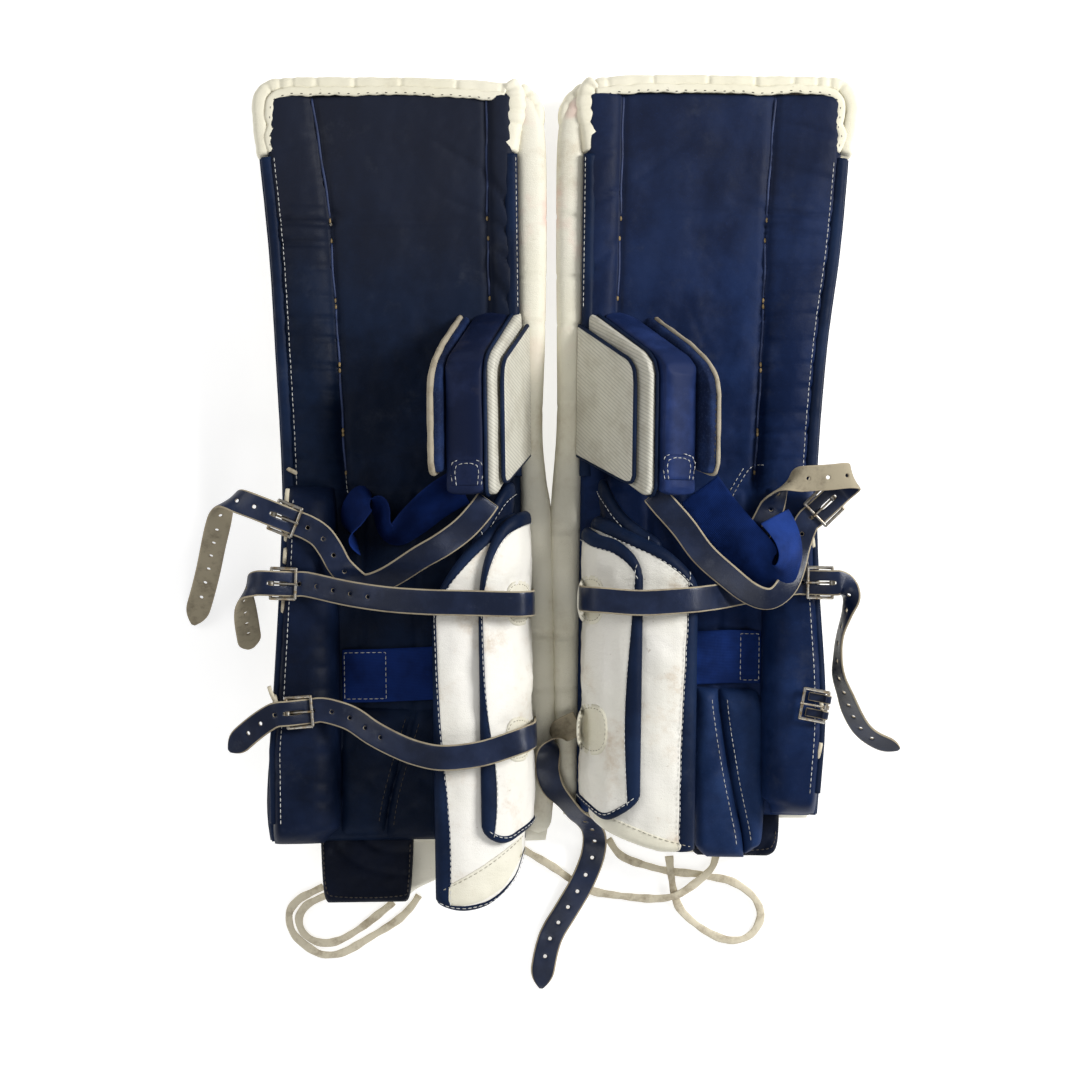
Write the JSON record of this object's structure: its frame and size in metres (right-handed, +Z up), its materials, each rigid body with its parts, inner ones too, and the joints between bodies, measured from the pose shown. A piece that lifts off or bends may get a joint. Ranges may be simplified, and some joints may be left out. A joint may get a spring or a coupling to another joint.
{
  "type": "goalie leg pads",
  "caption": "Ice hockey goalie leg pads lying on their front faces, with knee stacks, calf wings, elastics, leather straps with buckles and toe laces.",
  "frame": {"origin": "middle of the pair's bounding box, on the floor that the front faces lie on", "axes": "+Y towards the thigh ends, +X towards the pad on the right, +Z up from the front faces to the leg side"},
  "size_m": [0.7294, 0.9261, 0.168],
  "materials": {
    "cover_leather": "matt worn off-white synthetic leather",
    "foam": "closed-cell foam, hidden",
    "navy_nylon": "woven nylon, puckered",
    "blue_nylon": "woven nylon, puckered",
    "dark_nylon": "dark woven nylon",
    "blue_elastic": "ribbed elastic webbing",
    "strap_leather": "smooth waxed leather with raw edges",
    "binding_white": "matt white leather roll",
    "lace_leather": "cream leather lace",
    "white_nylon": "ribbed white nylon",
    "glossy_navy": "smooth glossy synthetic leather",
    "denim_navy": "pebbled dark synthetic leather",
    "wing_white": "creased off-white synthetic leather with stains",
    "buckle_metal": "worn nickel plating"
  },
  "bodies": {
    "left_pad": {"left_shin_cover": "cover_leather", "left_shin_core": "foam", "left_shin_liner": "navy_nylon", "left_channel_bolsters": "navy_nylon", "left_outer_wing": "blue_nylon", "left_calf_elastic": "blue_elastic", "left_knee_elastic": "blue_elastic", "left_knee_strap": "strap_leather", "left_calf_strap": "strap_leather", "left_boot_strap": "strap_leather", "left_buckle_chapes": "strap_leather", "left_toe_lace": "lace_leather"},
    "left_thigh": {"left_thigh_cover": "dark_nylon", "left_thigh_core": "foam", "left_thigh_liner": "dark_nylon", "left_top_binding": "binding_white"},
    "left_boot": {"left_boot_cover": "cover_leather", "left_boot_liner": "dark_nylon"},
    "left_knee_stack": {"left_knee_block_outer": "white_nylon", "left_knee_block_middle": "white_nylon", "left_knee_block_main": "glossy_navy", "left_knee_block_inner": "denim_navy"},
    "left_inner_wing": {"left_wing_panel_long": "wing_white", "left_wing_panel_short": "wing_white"},
    "left_knee_buckle_frame": {"left_knee_buckle": "buckle_metal"},
    "left_calf_buckle_frame": {"left_calf_buckle": "buckle_metal"},
    "left_boot_buckle_frame": {"left_boot_buckle": "buckle_metal"},
    "left_knee_buckle_prong": {"left_knee_prong": "buckle_metal"},
    "left_calf_buckle_prong": {"left_calf_prong": "buckle_metal"},
    "left_boot_buckle_prong": {"left_boot_prong": "buckle_metal"},
    "right_pad": {"right_shin_cover": "cover_leather", "right_shin_core": "foam", "right_shin_liner": "navy_nylon", "right_channel_bolsters": "navy_nylon", "right_outer_wing": "blue_nylon", "right_calf_elastic": "blue_elastic", "right_knee_elastic": "blue_elastic", "right_knee_strap": "strap_leather", "right_calf_strap": "strap_leather", "right_boot_strap": "strap_leather", "right_buckle_chapes": "strap_leather", "right_toe_lace": "lace_leather"},
    "right_thigh": {"right_thigh_cover": "dark_nylon", "right_thigh_core": "foam", "right_thigh_liner": "dark_nylon", "right_top_binding": "binding_white"},
    "right_boot": {"right_boot_cover": "cover_leather", "right_boot_liner": "dark_nylon"},
    "right_knee_stack": {"right_knee_block_outer": "white_nylon", "right_knee_block_middle": "white_nylon", "right_knee_block_main": "glossy_navy", "right_knee_block_inner": "denim_navy"},
    "right_inner_wing": {"right_wing_panel_long": "wing_white", "right_wing_panel_short": "wing_white"},
    "right_knee_buckle_frame": {"right_knee_buckle": "buckle_metal"},
    "right_calf_buckle_frame": {"right_calf_buckle": "buckle_metal"},
    "right_boot_buckle_frame": {"right_boot_buckle": "buckle_metal"},
    "right_knee_buckle_prong": {"right_knee_prong": "buckle_metal"},
    "right_calf_buckle_prong": {"right_calf_prong": "buckle_metal"},
    "right_boot_buckle_prong": {"right_boot_prong": "buckle_metal"}
  },
  "joints": [
    {"name": "right_pad_slide", "type": "slide", "parent": "left_pad", "child": "right_pad", "axis": [1, 0, 0], "range_m": [0, 0.3]},
    {"name": "left_thigh_break", "type": "hinge", "parent": "left_pad", "child": "left_thigh", "pos_m": [-0.14161, 0.32997, 0.001], "axis": [0.9999, 0.014, 0], "range_deg": [0, 20]},
    {"name": "left_boot_break", "type": "hinge", "parent": "left_pad", "child": "left_boot", "pos_m": [-0.13323, -0.26997, 0.001], "axis": [-0.9999, -0.014, 0], "range_deg": [0, 12]},
    {"name": "left_knee_stack_fold", "type": "hinge", "parent": "left_pad", "child": "left_knee_stack", "pos_m": [-0.00818, 0.15681, 0.066], "axis": [-0.014, 0.9999, 0], "range_deg": [0, 25]},
    {"name": "left_inner_wing_close", "type": "hinge", "parent": "left_pad", "child": "left_inner_wing", "pos_m": [-0.02492, -0.14845, 0.073], "axis": [0.014, -0.9999, 0], "range_deg": [0, 10]},
    {"name": "left_knee_buckle_hinge", "type": "hinge", "parent": "left_pad", "child": "left_knee_buckle_frame", "pos_m": [-0.25987, 0.02529, 0.118], "axis": [-0.373, -0.9278, 0], "range_deg": [0, 30]},
    {"name": "left_knee_prong_hinge", "type": "hinge", "parent": "left_knee_buckle_frame", "child": "left_knee_buckle_prong", "pos_m": [-0.25987, 0.02529, 0.118], "axis": [-0.373, -0.9278, 0], "range_deg": [0, 60]},
    {"name": "left_calf_buckle_hinge", "type": "hinge", "parent": "left_pad", "child": "left_calf_buckle_frame", "pos_m": [-0.26242, -0.04216, 0.118], "axis": [-0.0384, -0.9993, 0], "range_deg": [0, 30]},
    {"name": "left_calf_prong_hinge", "type": "hinge", "parent": "left_calf_buckle_frame", "child": "left_calf_buckle_prong", "pos_m": [-0.26242, -0.04216, 0.118], "axis": [-0.0384, -0.9993, 0], "range_deg": [0, 60]},
    {"name": "left_boot_buckle_hinge", "type": "hinge", "parent": "left_pad", "child": "left_boot_buckle_frame", "pos_m": [-0.24665, -0.16905, 0.118], "axis": [0.0837, -0.9965, 0], "range_deg": [0, 30]},
    {"name": "left_boot_prong_hinge", "type": "hinge", "parent": "left_boot_buckle_frame", "child": "left_boot_buckle_prong", "pos_m": [-0.24665, -0.16905, 0.118], "axis": [0.0837, -0.9965, 0], "range_deg": [0, 60]},
    {"name": "right_thigh_break", "type": "hinge", "parent": "right_pad", "child": "right_thigh", "pos_m": [0.16261, 0.32997, 0.001], "axis": [0.9999, -0.014, 0], "range_deg": [0, 20]},
    {"name": "right_boot_break", "type": "hinge", "parent": "right_pad", "child": "right_boot", "pos_m": [0.15423, -0.26997, 0.001], "axis": [-0.9999, 0.014, 0], "range_deg": [0, 12]},
    {"name": "right_knee_stack_fold", "type": "hinge", "parent": "right_pad", "child": "right_knee_stack", "pos_m": [0.03418, 0.15674, 0.066], "axis": [-0.014, -0.9999, 0], "range_deg": [0, 25]},
    {"name": "right_inner_wing_close", "type": "hinge", "parent": "right_pad", "child": "right_inner_wing", "pos_m": [0.05792, -0.14862, 0.073], "axis": [0.014, 0.9999, 0], "range_deg": [0, 10]},
    {"name": "right_knee_buckle_hinge", "type": "hinge", "parent": "right_pad", "child": "right_knee_buckle_frame", "pos_m": [0.28559, 0.04122, 0.118], "axis": [-0.6972, 0.7169, 0], "range_deg": [0, 30]},
    {"name": "right_knee_prong_hinge", "type": "hinge", "parent": "right_knee_buckle_frame", "child": "right_knee_buckle_prong", "pos_m": [0.28559, 0.04122, 0.118], "axis": [-0.6972, 0.7169, 0], "range_deg": [0, 60]},
    {"name": "right_calf_buckle_hinge", "type": "hinge", "parent": "right_pad", "child": "right_calf_buckle_frame", "pos_m": [0.28523, -0.04178, 0.118], "axis": [0.014, 0.9999, 0], "range_deg": [0, 30]},
    {"name": "right_calf_prong_hinge", "type": "hinge", "parent": "right_calf_buckle_frame", "child": "right_calf_buckle_prong", "pos_m": [0.28523, -0.04178, 0.118], "axis": [0.014, 0.9999, 0], "range_deg": [0, 60]},
    {"name": "right_boot_buckle_hinge", "type": "hinge", "parent": "right_pad", "child": "right_boot_buckle_frame", "pos_m": [0.27933, -0.16351, 0.118], "axis": [0.1874, 0.9823, 0], "range_deg": [0, 40]},
    {"name": "right_boot_prong_hinge", "type": "hinge", "parent": "right_boot_buckle_frame", "child": "right_boot_buckle_prong", "pos_m": [0.27933, -0.16351, 0.118], "axis": [0.1874, 0.9823, 0], "range_deg": [0, 60]}
  ]
}
